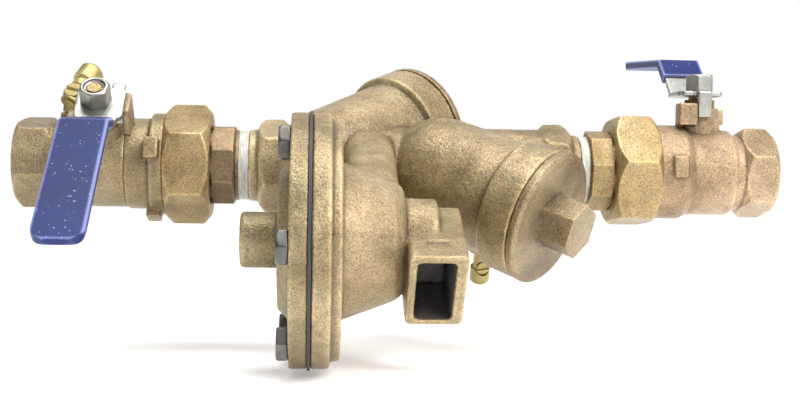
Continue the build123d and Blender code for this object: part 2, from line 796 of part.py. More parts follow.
def make_valve_inside(number, name):
    """Ball, seats, stem, packing, lever, nut and grip of one ball valve."""
    frame = valve_frame(number)
    plane = Plane(origin=frame.origin, x_dir=frame.x_dir, z_dir=frame.y_dir)

    with BuildPart() as ball:
        add(sphere_at(frame, BALL_R))
        add(rod(plane.offset(-20), PORT_R, 40), mode=Mode.SUBTRACT)
        add(block(frame.offset(13.5), 10.2, 4.2, 6), mode=Mode.SUBTRACT)
    write(ball.part, f"{name}_ball")

    with BuildPart() as seats:
        for side in (-1, 1):
            add(ring(frame, side * SEAT_RING[0], side * SEAT_RING[1], PORT_R, SEAT_RING_R))
        add(sphere_at(frame, BALL_R + FIT), mode=Mode.SUBTRACT)
    write(seats.part, f"{name}_ball_seats")

    with BuildPart() as stem:
        add(block(frame.offset(13.7), 10.0, 4.0, 4.4))
        add(stem_hole(frame, 18.0, 20.4, 7.0))
        add(stem_hole(frame, 20.4, LEVER_AT, STEM_SHANK_R))
        add(stem_hole(frame, LEVER_AT, LEVER_NUT_TOP - 2.2, LEVER_HOLE_R - FIT))
        add(stem_hole(frame, LEVER_NUT_TOP - 2.2, LEVER_NUT_TOP - 1.0, 3.3))
    write(stem.part, f"{name}_stem")

    with BuildPart() as packing:
        add(stem_hole(frame, 24.0, 28.4, GLAND_R - FIT))
        add(stem_hole(frame, 20, 30, STEM_SHANK_R + FIT), mode=Mode.SUBTRACT)
    write(packing.part, f"{name}_stem_packing")

    with BuildPart() as gland:
        add(stem_hole(frame, 28.5, TOWER_TOP, GLAND_R - FIT))
        add(prism(frame.offset(TOWER_TOP), 15.0, 6, 4.2, 15))
        add(stem_hole(frame, 20, 40, STEM_SHANK_R + FIT), mode=Mode.SUBTRACT)
    write(gland.part, f"{name}_packing_nut")

    side = Plane(origin=frame.origin, x_dir=frame.y_dir, z_dir=frame.x_dir)
    with BuildPart() as lever:
        with BuildSketch(side.offset(GRIP_SHIFT - LEVER_WIDTH / 2)):
            with BuildLine():
                Polyline(
                    (-9.0, LEVER_AT),
                    (-15.5, LEVER_AT),
                    (-36.9, 57.4),
                    (-112.3, 62.2),
                    (-112.3, 64.7),
                    (-35.8, 59.8),
                    (-14.5, LEVER_AT + LEVER_THICK),
                    (-9.0, LEVER_AT + LEVER_THICK),
                    close=True,
                )
            make_face()
        extrude(amount=LEVER_WIDTH)
        add(block(frame.offset(LEVER_AT), 23.0, 21.0, LEVER_THICK, (1.9, -1.5), 2))
        add(block(frame.offset(LEVER_AT), 6.4, 8.0, LEVER_THICK, (9.4, 9.2), 1.5))
        tab_centre, (tab_width, tab_depth), tab_end = STOP_TAB[number]
        if number == 1:
            add(block(frame.offset(LEVER_AT), tab_width, 7.0, LEVER_THICK, (0.6, 9.2)))
        tab_height = LEVER_AT + LEVER_THICK - tab_end
        add(block(frame.offset(tab_end), tab_width, tab_depth, tab_height, tab_centre))
        add(stem_hole(frame, 20, 60, LEVER_HOLE_R), mode=Mode.SUBTRACT)
    write(lever.part, f"{name}_lever")

    with BuildPart() as grip:
        with BuildSketch(side.offset(GRIP_SHIFT - LEVER_WIDTH / 2 - COAT)):
            with BuildLine():
                Polyline(
                    (-24.3, 52.1),
                    (-27.1, 47.2),
                    (-37.5, 56.2),
                    (-113.5, 61.0),
                    (-113.5, 66.0),
                    (-35.5, 61.0),
                    close=True,
                )
            make_face()
        extrude(amount=LEVER_WIDTH + 2 * COAT)
        add(lever.part, mode=Mode.SUBTRACT)
    write(grip.part, f"{name}_grip")

    bottom = LEVER_AT + LEVER_THICK
    upright = Plane(origin=frame.origin, x_dir=frame.z_dir, z_dir=frame.x_dir)
    with BuildPart() as nut:
        nut_z = (bottom, LEVER_NUT_TOP, LEVER_NUT_FLATS, LEVER_NUT_TURN[number])
        add(chamfered_hex(frame.offset(bottom), upright, *nut_z, (False, True)))
        add(stem_hole(frame, 20, 60, LEVER_HOLE_R), mode=Mode.SUBTRACT)
        add(stem_hole(frame, LEVER_NUT_TOP - 1.4, 60, 5.1), mode=Mode.SUBTRACT)
    write(nut.part, f"{name}_lever_nut")


# ---------------------------------------------------------------- unions
def make_union(number, name, nut_turn, tail_turn, ring_length):
    """Union nut, tailpiece, union seal and the tape on the tailpiece's pipe thread."""
    rim = UNION_AT[number]
    frame = valve_frame(number)
    pipe = rolled(0)
    centre = VALVE_X[number]
    step = 1 if number == 0 else -1
    nut_x = sorted((centre + step * rim, centre + step * (rim + UNION_NUT_LENGTH)))
    flange_at = rim + UNION_THREAD
    lip_at = flange_at + 7.2
    hex_at = rim + UNION_NUT_LENGTH + 0.7
    ring_at = rim + 34.3
    thread_at = ring_at + ring_length
    boss = BODY_IN if number == 0 else BODY_OUT
    boss_at = abs(boss - centre)

    with BuildPart() as nut:
        add(chamfered_hex(across(nut_x[0]), pipe, *nut_x, UNION_NUT_FLATS, nut_turn))
        add(ring(frame, rim - 1, lip_at, 0, UNION_THREAD_R), mode=Mode.SUBTRACT)
        add(ring(frame, rim, rim + 30, 0, 19.6), mode=Mode.SUBTRACT)
    write(nut.part, f"{name}_union_nut")

    with BuildPart() as tail:
        section = (
            (flange_at, TAIL_BORE_R),
            (flange_at, 15.4),
            (flange_at + 2.5, 15.4),
            (flange_at + 2.5, 18.5),
            (flange_at, 18.5),
            (flange_at, 23.2),
            (lip_at - 0.2, 23.2),
            (lip_at - 0.2, 19.2),
            (hex_at + 1, 19.2),
            (ring_at - 1, 17.6),
            (thread_at, 17.6),
            (thread_at, THREAD_R - FIT),
            (boss_at + BODY_THREAD - SLACK, THREAD_R - 0.7),
            (boss_at + BODY_THREAD - SLACK, TAIL_BORE_R),
        )
        add(turned(frame, *section))
        octagon_x = sorted((centre + step * hex_at, centre + step * ring_at))
        with BuildSketch(across(octagon_x[0])):
            RegularPolygon(TAIL_FLATS / 2, 8, major_radius=False, rotation=tail_turn)
            Circle(15.0, mode=Mode.SUBTRACT)
        extrude(amount=ring_at - hex_at)
    write(tail.part, f"{name}_tailpiece")

    with BuildPart() as seal:
        add(o_ring(frame, flange_at + 1.24, 16.95, 1.2))
    write(seal.part, f"{name}_union_o_ring")

    with BuildPart() as tape:
        add(ring(frame, thread_at, boss_at, THREAD_R, THREAD_R + 0.6))
    write(tape.part, f"{name}_thread_tape")


# ---------------------------------------------------------------- test cocks
def make_test_cock(name, centre, barrel_dir, screw_dir, foot, scale, barrel_end):
    """Small quarter-turn cock: a body screwed in at its foot, and its slotted screw."""
    along = Plane(origin=centre, x_dir=screw_dir, z_dir=barrel_dir)
    barrel = Plane(origin=centre, x_dir=barrel_dir, z_dir=screw_dir)
    base = cock_foot(centre, foot)
    reach = (Vector(*centre) - Vector(*foot)).length
    barrel_r = COCK_R * scale
    cap_r = 1.3 * barrel_r
    plug_r = 3.4 * scale
    head_r = 0.95 * barrel_r
    head_at = 3.0 * scale
    head_thick = 1.5
    cap = (
        (barrel_end - 5.5, 0),
        (barrel_end - 5.5, cap_r),
        (barrel_end + 2.6 * scale, cap_r),
        (barrel_end + 4.9 * scale, cap_r - 2.3 * scale),
        (barrel_end + 4.9 * scale, 0),
    )
    with BuildPart() as cock:
        add(rod(base, COCK_FOOT_R, reach))
        add(rod(base.offset(7.0), barrel_r, reach - 7.0))
        add(rod(along.offset(-5.5 * scale), barrel_r, barrel_end + 5.5 * scale))
        add(turned(barrel, *cap))
        add(rod(barrel, 1.1 * barrel_r, head_at - SLACK))
        add(rod(barrel.offset(-4.0 * scale), plug_r + FIT, 14), mode=Mode.SUBTRACT)
        add(rod(barrel.offset(head_at - FIT), head_r + 0.15, 14), mode=Mode.SUBTRACT)
    write(cock.part, name)

    with BuildPart() as screw:
        add(rod(barrel.offset(-3.9 * scale), plug_r, head_at + 3.9 * scale))
        add(rod(barrel.offset(head_at), head_r, head_thick))
        slot = block(barrel.offset(head_at + 0.5), 1.5, 12.0 * scale, head_thick)
        add(slot, mode=Mode.SUBTRACT)
    write(screw.part, f"{name}_screw")


# ---------------------------------------------------------------- the whole assembly
make_body()
for check_number in (0, 1):
    make_check(check_number)
make_relief_cover()
make_relief_bolts()
make_relief_inside()
make_inlet_body()
make_inlet_union_end()
make_outlet_body()
make_outlet_hex_end()
make_valve_inside(0, "inlet")
make_valve_inside(1, "outlet")
make_union(0, "inlet", 30, 25, 2.2)
make_union(1, "outlet", 51, 38, 0.8)
make_test_cock(
    "inlet_test_cock",
    centre=INLET_COCK,
    barrel_dir=(0.387, 0.58, 0.716),
    screw_dir=(-0.1, -0.75, 0.66),
    foot=INLET_COCK_FOOT,
    scale=1.0,
    barrel_end=15.0,
)
make_test_cock(
    "lower_test_cock",
    centre=tuple(in_body(*LOWER_COCK)),
    barrel_dir=tuple(in_body(0, 0, -1)),
    screw_dir=tuple(in_body(0.3, -0.954, 0)),
    foot=tuple(in_body(*LOWER_COCK_FOOT)),
    scale=0.8,
    barrel_end=6.0,
)
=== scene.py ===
import json
import math

import bpy
import numpy as np
from mathutils import Matrix, Vector


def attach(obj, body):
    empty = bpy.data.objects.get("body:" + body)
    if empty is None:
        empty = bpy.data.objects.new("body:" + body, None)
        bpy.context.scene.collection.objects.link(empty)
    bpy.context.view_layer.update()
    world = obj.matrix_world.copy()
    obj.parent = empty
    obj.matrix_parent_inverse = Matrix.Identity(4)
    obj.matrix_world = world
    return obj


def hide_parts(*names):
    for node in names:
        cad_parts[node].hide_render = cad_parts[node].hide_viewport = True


# Backflow preventer: the castings are remeshed with soft cast edges and sand grain, the
# turned and formed pieces get rounded edges, and every surface gets a procedural material.
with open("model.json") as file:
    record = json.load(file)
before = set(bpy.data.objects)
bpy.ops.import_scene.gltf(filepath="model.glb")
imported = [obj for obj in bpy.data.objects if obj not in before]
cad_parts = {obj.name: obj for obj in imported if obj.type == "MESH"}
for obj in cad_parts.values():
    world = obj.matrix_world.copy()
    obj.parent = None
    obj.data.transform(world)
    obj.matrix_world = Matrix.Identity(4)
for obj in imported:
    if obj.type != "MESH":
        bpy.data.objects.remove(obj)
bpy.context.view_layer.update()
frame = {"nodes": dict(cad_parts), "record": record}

# ---------------------------------------------------------------- sizes, millimetres and radians
MM = 0.001
ROLL = math.radians(25.0)  # the main casting's turn about its pipe
INLET_LEAN = math.radians(43.5)  # the inlet valve's turn about its pipe
VALVE_X = (42.0, 344.2)  # where the stems of the two ball valves cross the pipe
# each check barrel: its start on the pipe, its lean, its turn about the pipe, its side
CHECKS = ((150.0, 45.0, 25.0, 1), (204.0, 41.0, 29.0, -1))
RELIEF_DROP = 79.0  # from the pipe's centre to the relief spindle

# machined surfaces that stay where the CAD has them, as radii
RUN_BORE = 17.2
CHECK_BORE = 27.6
SOCKET_BORE = 20.6
NUT_BORE = 23.7
TAIL_BORE = 17.0
RELIEF_CHAMBER = (182.0, 42.5)  # its end in x, its radius
SPINDLE_GUIDE = (214.0, 9.0)  # its end in x, its radius
CAP_FLANGE = 70.6  # along a check, where the cap's flange starts

# the vent passage, in the casting's own frame
VENT_SIDES = (190.4, 209.0)
VENT_HEIGHTS = (-26.2, 9.5)
VENT_BACK = 60.0
VENT_MOUTH = (104.8, -28.3, 0.268)  # its drop at this height, and its slant
VENT_LIP = 1.6  # bright metal just inside the mouth

# the flow arrow on the run: tail, neck and tip in x, half widths, its line, what it stays above
ARROW_X = (214.0, 240.0, 254.0)
ARROW_HALF_WIDTHS = (3.2, 6.4)
ARROW_Y = -12.0
ARROW_ABOVE = 12.0
ARROW_LIFT = (0.0, -0.30, 0.62)
# the thumbnail recess on the vent: its centre in x and drop, radius, top, least depth, slope
NAIL_AT = (200.3, 106.0)
NAIL_RADIUS = 6.2
NAIL_ABOVE = 11.4
NAIL_DEPTH = (0.15, 0.14)

# far ends of the levers and their grips: distance from the stem, half width, corner radius
LEVER_TIP = (112.3, 10.0, 6.0)
GRIP_TIP = (113.5, 11.2, 7.0)
GRIP_SHIFT = 1.1  # the blade's middle is this far to one side of the stem

# voxel size, rounds of smoothing and height of the grain, for each kind of piece
BODY_CAST = (0.75, 4, 0.05)
COVER_CAST = (0.65, 4, 0.045)
VALVE_CAST = (0.5, 5, 0.03)
CAP_CAST = (0.5, 3, 0.03)
UNION_FORGED = (0.45, 3, 0.015)
LEVER_PRESSED = (0.45, 2)
GRIP_DIPPED = (0.5, 9)
LEVER_NUT = (0.3, 3)
PACKING_NUT = (0.35, 3)
COVER_BOLT = (0.4, 3)
COCK_TURNED = (0.3, 3)
SMOOTHING = 0.55  # share of the way to the neighbours' mean, each round
EDGE_HEIGHT = 0.09  # height above the neighbours, in voxels, that counts as a full edge
RNG = np.random.default_rng(11)


# ---------------------------------------------------------------- axes of the object
def body_point(x, along_y, along_z):
    """World position of a point in the casting's own rolled frame."""
    c, s = math.cos(ROLL), math.sin(ROLL)
    return np.array((x, along_y * c - along_z * s, along_y * s + along_z * c))


def in_casting(points):
    """x, drop towards the relief valve and height of points, in the casting's rolled frame."""
    c, s = math.cos(ROLL), math.sin(ROLL)
    x, y, z = points.T
    return x, -(y * c + z * s), -y * s + z * c


def check_axis(number):
    """Start and direction of a check barrel."""
    x, angle, roll, side = CHECKS[number]
    a, r = math.radians(angle), math.radians(roll)
    across = side * math.sin(a)
    out = np.array((math.cos(a), across * math.cos(r), across * math.sin(r)))
    return np.array((x, 0.0, 0.0)), out


def along_and_out(points, origin, axis):
    """Distance along an axis and radius from it."""
    d = points - origin
    along = d @ axis
    radius = np.linalg.norm(d - np.outer(along, axis), axis=1)
    return along, radius


def valve_axes(number):
    """Origin and the x, y and z directions of a ball valve's own frame."""
    origin = np.array((VALVE_X[number], 0.0, 0.0))
    if number == 0:
        c, s = math.cos(INLET_LEAN), math.sin(INLET_LEAN)
        return origin, np.array(((1.0, 0, 0), (0, c, s), (0, -s, c)))
    return origin, np.array(((-1.0, 0, 0), (0, -1.0, 0), (0, 0, 1.0)))


# ---------------------------------------------------------------- materials
class Nodes:
    """Short calls for building a material's node tree."""

    def __init__(self, name):
        self.mat = bpy.data.materials.new(name)
        self.mat.use_nodes = True
        self.tree = self.mat.node_tree
        self.shader = self.tree.nodes["Principled BSDF"]
        self.coords = self.tree.nodes.new("ShaderNodeTexCoord").outputs["Object"]

    def link(self, a, b):
        self.tree.links.new(a, b)

    def mapped(self, stretch):
        if stretch is None:
            return self.coords
        m = self.tree.nodes.new("ShaderNodeMapping")
        m.inputs["Scale"].default_value = stretch
        self.link(self.coords, m.inputs["Vector"])
        return m.outputs["Vector"]

    def noise(self, scale, detail=3.0, rough=0.55, stretch=None, distortion=0.0):
        n = self.tree.nodes.new("ShaderNodeTexNoise")
        n.inputs["Scale"].default_value = scale
        n.inputs["Detail"].default_value = detail
        n.inputs["Roughness"].default_value = rough
        n.inputs["Distortion"].default_value = distortion
        self.link(self.mapped(stretch), n.inputs["Vector"])
        return n.outputs["Fac"]

    def voronoi(self, scale):
        n = self.tree.nodes.new("ShaderNodeTexVoronoi")
        n.inputs["Scale"].default_value = scale
        self.link(self.coords, n.inputs["Vector"])
        return n.outputs["Distance"]

    def edge_or_hollow(self):
        """A remeshed piece's own shape: -1 in its hollows, 0 on its flats, 1 on its edges; the
        materials paint shade and highlights from it.
        """
        n = self.tree.nodes.new("ShaderNodeAttribute")
        n.attribute_name = "edge_or_hollow"
        return n.outputs["Fac"]

    def ramp(self, value, *stops):
        n = self.tree.nodes.new("ShaderNodeValToRGB")
        e = n.color_ramp.elements
        while len(e) < len(stops):
            e.new(0.5)
        for item, (at, colour) in zip(e, stops):
            item.position = at
            item.color = (*colour, 1.0)
        self.link(value, n.inputs["Fac"])
        return n.outputs["Color"]

    def mix(self, factor, a, b, how="MIX"):
        n = self.tree.nodes.new("ShaderNodeMix")
        n.data_type = "RGBA"
        n.blend_type = how
        for name, value in (("Factor", factor), ("A", a), ("B", b)):
            socket = n.inputs[name]
            if isinstance(value, bpy.types.NodeSocket):
                self.link(value, socket)
            elif isinstance(value, tuple):
                socket.default_value = (*value, 1.0)
            else:
                socket.default_value = value
        return n.outputs["Result"]

    def span(self, value, low, high, start=0.0):
        """Spreads values between start and 1 over low to high."""
        n = self.tree.nodes.new("ShaderNodeMapRange")
        n.inputs["From Min"].default_value = start
        n.inputs["To Min"].default_value = low
        n.inputs["To Max"].default_value = high
        self.link(value, n.inputs["Value"])
        return n.outputs["Result"]

    def bump(self, height, strength, distance, below=None):
        n = self.tree.nodes.new("ShaderNodeBump")
        n.inputs["Strength"].default_value = strength
        n.inputs["Distance"].default_value = distance
        self.link(height, n.inputs["Height"])
        if below is not None:
            self.link(below, n.inputs["Normal"])
        return n.outputs["Normal"]

    def set(self, **values):
        for name, value in values.items():
            socket = self.shader.inputs[name.replace("_", " ")]
            if isinstance(value, bpy.types.NodeSocket):
                self.link(value, socket)
            else:
                socket.default_value = value


def grey(v):
    return (v, v, v)


def cast_bronze(name, light, mid, dark, grain=0.5, metallic=0.45, light_or_shade_tint=(1, 1, 1)):
    """Sand-cast bronze: mottled tan skin, stains, pitted grain, painted highlights on its edges and
    painted shade in its hollows.
    """
    n = Nodes(name)
    patches = n.noise(28.0, detail=4.0, rough=0.6)
    stains = n.noise(75.0, detail=5.0, rough=0.65, distortion=0.6)
    grit = n.noise(1300.0, detail=2.0, rough=0.65)
    # the tint darkens or lightens all three shades: painted shade or painted light over a whole
    # piece
    light, mid, dark = (tuple(c * k for c, k in zip(shade, light_or_shade_tint)) for shade in (light, mid, dark))
    colour = n.ramp(patches, (0.30, dark), (0.50, mid), (0.70, light))
    spots = n.ramp(stains, (0.36, grey(0.66)), (0.56, grey(1.0)))
    colour = n.mix(0.7, colour, spots, "MULTIPLY")
    speck = n.ramp(grit, (0.36, grey(0.50)), (0.50, grey(1.0)), (0.66, grey(1.25)))
    colour = n.mix(0.85, colour, speck, "MULTIPLY")
    # painted shade darkens the hollows to a third, and a painted highlight lightens the edges
    hollow_shade_and_edge_highlight = n.span(n.edge_or_hollow(), 0.0, 1.0, start=-1.0)
    hollow_shade_and_edge_highlight = n.ramp(hollow_shade_and_edge_highlight, (0.0, grey(0.34)), (0.5, grey(1.0)), (1.0, (1.45, 1.42, 1.36)))
    colour = n.mix(1.0, colour, hollow_shade_and_edge_highlight, "MULTIPLY")
    fine = n.bump(grit, grain, 0.0004)
    pits = n.bump(n.noise(620.0, detail=3.0, rough=0.6), grain, 0.0006, fine)
    n.set(Base_Color=colour, Metallic=metallic, Roughness=n.span(stains, 0.34, 0.52), Normal=pits)
    return n.mat


def turned_metal(name, light, dark, rough=(0.24, 0.40), metallic=0.95, tool=0.25):
    """Machined metal: fine tool marks and faint tarnish."""
    n = Nodes(name)
    tarnish = n.noise(60.0, detail=4.0, rough=0.6)
    marks = n.noise(900.0, detail=2.0, rough=0.5)
    colour = n.ramp(tarnish, (0.32, dark), (0.62, light))
    colour = n.mix(0.35, colour, n.ramp(marks, (0.3, grey(0.75)), (0.7, grey(1.1))), "MULTIPLY")
    normal = n.bump(marks, tool, 0.0002)
    n.set(Base_Color=colour, Metallic=metallic, Roughness=n.span(tarnish, *rough), Normal=normal)
    return n.mat


def vinyl(name):
    """Dip-coated blue vinyl: pebbled skin, pale flecks of dust and a painted sheen along its edges.
    """
    n = Nodes(name)
    cloud = n.noise(45.0, detail=3.0, rough=0.5)
    colour = n.ramp(cloud, (0.3, (0.006, 0.013, 0.085)), (0.7, (0.011, 0.023, 0.125)))
    flecks = n.ramp(n.voronoi(420.0), (0.10, grey(1.0)), (0.16, grey(0.0)))
    sparse = n.ramp(n.noise(90.0, detail=2.0), (0.46, grey(0.0)), (0.58, grey(1.0)))
    colour = n.mix(n.mix(1.0, flecks, sparse, "MULTIPLY"), colour, (0.30, 0.36, 0.60))
    # painted sheen: pale lavender on the rounded edges
    edge_sheen = n.ramp(n.edge_or_hollow(), (0.12, grey(0.0)), (0.7, grey(0.75)))
    colour = n.mix(edge_sheen, colour, (0.26, 0.30, 0.60))
    normal = n.bump(n.noise(260.0, detail=3.0, rough=0.6), 0.2, 0.0003)
    n.set(Base_Color=colour, Roughness=n.span(cloud, 0.36, 0.50), Normal=normal)
    n.set(Specular_IOR_Level=0.22)
    return n.mat


def tape(name):
    """White thread-seal tape: overlapping turns with loose edges."""
    n = Nodes(name)
    wraps = n.noise(420.0, detail=3.0, rough=0.6, stretch=(3.0, 0.35, 0.35))
    colour = n.ramp(wraps, (0.3, (0.34, 0.33, 0.28)), (0.62, (0.60, 0.59, 0.54)))
    n.set(Base_Color=colour, Roughness=0.55, Normal=n.bump(wraps, 0.8, 0.0006))
    n.set(Subsurface_Weight=0.1)
    return n.mat


def soft(name, colour, rough):
    """Rubber or plastic of an inner seal."""
    n = Nodes(name)
    skin = n.noise(500.0, detail=2.0)
    shade = n.ramp(skin, (0.3, tuple(c * 0.8 for c in colour)), (0.7, colour))
    n.set(Base_Color=shade, Roughness=rough, Normal=n.bump(skin, 0.2, 0.0002))
    return n.mat


def paper(name):
    """Pale studio floor with a slight glow, which keeps the shadow faint."""
    n = Nodes(name)
    colour = n.ramp(n.noise(3.0), (0.3, grey(0.97)), (0.7, grey(0.99)))
    n.set(Base_Color=colour, Roughness=0.9, Specular_IOR_Level=0.1)
    n.set(Emission_Color=(1.0, 1.0, 1.0, 1.0), Emission_Strength=0.30)
    return n.mat


# light, middle and dark shades of each bronze
TAN = ((0.44, 0.345, 0.205), (0.325, 0.245, 0.132), (0.195, 0.138, 0.066))
CAP_TAN = ((0.36, 0.275, 0.170), (0.27, 0.20, 0.115), (0.17, 0.12, 0.065))
GOLDEN = ((0.43, 0.325, 0.165), (0.33, 0.235, 0.105), (0.20, 0.128, 0.05))
SHADED = ((0.24, 0.225, 0.22), (0.17, 0.16, 0.158), (0.10, 0.095, 0.095))
# light and dark shades of each turned metal
BRASS = ((0.47, 0.39, 0.17), (0.27, 0.21, 0.08))
INNER_BRASS = ((0.70, 0.50, 0.22), (0.48, 0.33, 0.13))
ZINC = ((0.40, 0.395, 0.37), (0.24, 0.24, 0.22))
DULL_STEEL = ((0.17, 0.165, 0.155), (0.08, 0.078, 0.072))

MATERIALS = {
    "cast_bronze": cast_bronze("cast_bronze", *TAN),
    # shaded and lit copies of the bronze: their tints paint shade or light over whole pieces
    "cast_inlet_painted_shade": cast_bronze("cast_inlet_painted_shade", *TAN, light_or_shade_tint=(0.80, 0.79, 0.78)),
    "cast_cover_painted_shade": cast_bronze("cast_cover_painted_shade", *TAN, light_or_shade_tint=(0.78, 0.79, 0.74)),
    "cast_outlet_painted_light": cast_bronze("cast_outlet_painted_light", *TAN, light_or_shade_tint=(1.10, 1.04, 1.12)),
    "tail_inlet_painted_shade": cast_bronze("tail_inlet_painted_shade", *TAN, grain=0.3, metallic=0.6, light_or_shade_tint=(0.56, 0.49, 0.47)),
    "cap_bronze": cast_bronze("cap_bronze", *CAP_TAN),
    "turned_bronze": cast_bronze("turned_bronze", *GOLDEN, grain=0.25, metallic=0.6),
    "yellow_brass": turned_metal("yellow_brass", *BRASS, rough=(0.38, 0.55), metallic=0.8),
    "inner_brass": turned_metal("inner_brass", *INNER_BRASS),
    "plated_steel": turned_metal("plated_steel", *ZINC, rough=(0.30, 0.48)),
    "bolt_steel": turned_metal("bolt_steel", *DULL_STEEL, rough=(0.34, 0.5)),
    "spring_steel": turned_metal("spring_steel", grey(0.60), grey(0.45)),
    "plated_ball": turned_metal(
        "plated_ball", grey(0.78), grey(0.66), rough=(0.06, 0.14), metallic=1.0, tool=0.03
    ),
    "black_rubber": soft("black_rubber", (0.035, 0.034, 0.033), rough=0.6),
    "ptfe": soft("ptfe", (0.80, 0.80, 0.78), rough=0.45),
    "ptfe_tape": tape("ptfe_tape"),
    "blue_vinyl": vinyl("blue_vinyl"),
    # painted shade for the unlit inside of the vent passage
    "vent_painted_shade": cast_bronze("vent_painted_shade", *SHADED),
}
# pieces with a darker or lighter copy of the bronze: painted shade on the inlet valve, its union
# end, the inlet tailpiece and the relief cover; painted light on the outlet valve and its hex end
LIT_OR_SHADED_COPY_OF = {
    "inlet_valve_body": "cast_inlet_painted_shade",
    "inlet_union_end": "cast_inlet_painted_shade",
    "relief_cover": "cast_cover_painted_shade",
    "outlet_valve_body": "cast_outlet_painted_light",
    "outlet_hex_end": "cast_outlet_painted_light",
    "inlet_tailpiece": "tail_inlet_painted_shade",
}
SLOT_OF = {p["node"]: p["material_slot"] for p in frame["record"]["subparts"]}
BODIES = frame["record"]["behaviour"]["bodies"]
BODY_OF = {node: body for body, nodes in BODIES.items() for node in nodes}


def skin(node):
    return MATERIALS[LIT_OR_SHADED_COPY_OF.get(node, SLOT_OF[node])]


for node, obj in frame["nodes"].items():
    obj.data.materials.clear()
    obj.data.materials.append(skin(node))


# ---------------------------------------------------------------- remeshing
def mesh_arrays(mesh):
    """Vertices and edges of a mesh."""
    points = np.empty(len(mesh.vertices) * 3)
    mesh.vertices.foreach_get("co", points)
    edges = np.empty(len(mesh.edges) * 2, dtype=np.int64)
    mesh.edges.foreach_get("vertices", edges)
    return points.reshape(-1, 3), edges.reshape(-1, 2)


def neighbour_mean(values, edges, count):
    """Mean of each vertex's neighbours, for one or three columns of values."""
    total = np.empty_like(values)
    for column in range(values.shape[1]):
        there = np.bincount(edges[:, 0], values[edges[:, 1], column], len(values))
        back = np.bincount(edges[:, 1], values[edges[:, 0], column], len(values))
        total[:, column] = there + back
    return total / count[:, None]


def calmed(values, edges, count):
    """One column of values, averaged twice with their neighbours."""
    for _ in range(2):
        values = 0.5 * values + 0.5 * neighbour_mean(values, edges, count)
    return values


def voxel_copy(node, voxel):
    """A new object whose mesh is the CAD node's, remeshed in voxels of this size."""
    obj = bpy.data.objects.new(node + "_cast", frame["nodes"][node].data.copy())
    bpy.context.scene.collection.objects.link(obj)
    step = obj.modifiers.new("remesh", "REMESH")
    step.mode = "VOXEL"
    step.voxel_size = voxel * MM
    graph = bpy.context.evaluated_depsgraph_get()
    fresh = bpy.data.meshes.new_from_object(obj.evaluated_get(graph))
    obj.modifiers.clear()
    obj.data = fresh
    return obj


def move_vertices(mesh, points):
    mesh.vertices.foreach_set("co", (points * MM).ravel())
    mesh.update()


def vertex_normals(mesh):
    normals = np.empty(len(mesh.vertices) * 3)
    mesh.vertex_normals.foreach_get("vector", normals)
    return normals.reshape(-1, 3)


def darken(mesh, shaded):
    """Gives the faces that an opening hides from the light a dark skin."""
    mesh.materials.append(MATERIALS["vent_painted_shade"])
    centres = np.empty(len(mesh.polygons) * 3)
    mesh.polygons.foreach_get("center", centres)
    index = shaded(centres.reshape(-1, 3) / MM).astype(np.int32)
    mesh.polygons.foreach_set("material_index", index)


def remeshed(node, voxel, rounds, grain=0.0, locked=None, shape=None, shaded=None):
    """Stands a remeshed copy in for a CAD node: softened edges, then a fine cast grain.

    locked, shape and shaded take points in millimetres: locked gives the vertices that stay
    where the CAD has them, shape may move points before the smoothing, and shaded gives the
    faces with the dark skin of an unlit passage."""
    obj = voxel_copy(node, voxel)
    mesh = obj.data
    points, edges = mesh_arrays(mesh)
    points = points / MM
    count = np.maximum(np.bincount(edges.ravel(), minlength=len(points)), 1)
    if shape is not None:
        points = shape(points)
    free = np.ones(len(points), bool) if locked is None else ~locked(points)
    for _ in range(rounds):
        points[free] += SMOOTHING * (neighbour_mean(points, edges, count) - points)[free]
    move_vertices(mesh, points)
    normals = vertex_normals(mesh)
    pull = neighbour_mean(points, edges, count) - points
    hollow = calmed((pull * normals).sum(axis=1, keepdims=True), edges, count)
    edge_or_hollow = np.clip(-hollow[:, 0] / (EDGE_HEIGHT * voxel), -1.0, 1.0)
    if grain:
        bumps = calmed(RNG.normal(size=(len(points), 1)), edges, count)
        bumps /= bumps.std()
        points[free] += (normals * bumps * grain)[free]
    move_vertices(mesh, points)
    # the edge and hollow measure that the materials turn into painted shade and painted highlights
    values = mesh.attributes.new("edge_or_hollow", "FLOAT", "POINT").data
    values.foreach_set("value", edge_or_hollow.astype(np.float32))
    mesh.materials.clear()
    mesh.materials.append(skin(node))
    if shaded is not None:
        darken(mesh, shaded)
    mesh.shade_smooth()
    mesh.update()
    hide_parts(node)
    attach(obj, BODY_OF[node])


def bore(radius):
    """Marks the points nearer to the pipe's centre line than a radius."""
    return lambda points: np.hypot(points[:, 1], points[:, 2]) < radius


def body_inside(points):
    """Bores, chambers and machined rims of the main casting."""
    inside = bore(RUN_BORE)(points)
    for number in range(len(CHECKS)):
        along, out = along_and_out(points, *check_axis(number))
        inside |= (along > 0) & (out < CHECK_BORE)
    spindle = body_point(0, -RELIEF_DROP, 0)
    along, out = along_and_out(points, spindle, np.array((1.0, 0, 0)))
    chamber_end, chamber_radius = RELIEF_CHAMBER
    guide_end, guide_radius = SPINDLE_GUIDE
    inside |= (along < chamber_end) & (out < chamber_radius)
    inside |= (along >= chamber_end) & (along < guide_end) & (out < guide_radius)
    return inside


def cap_shank(number):
    """Marks the part of a check's cap that goes into its barrel."""
    return lambda points: along_and_out(points, *check_axis(number))[0] < CAP_FLANGE


def vent_inside(points):
    """Faces of the vent passage behind its slanted mouth."""
    x, drop, height = in_casting(points)
    mouth_drop, mouth_height, slant = VENT_MOUTH
    mouth = mouth_drop + (height - mouth_height) * slant
    inside = (x > VENT_SIDES[0]) & (x < VENT_SIDES[1])
    inside &= (height > VENT_HEIGHTS[0]) & (height < VENT_HEIGHTS[1])
    return inside & (drop < mouth - VENT_LIP) & (drop > VENT_BACK)


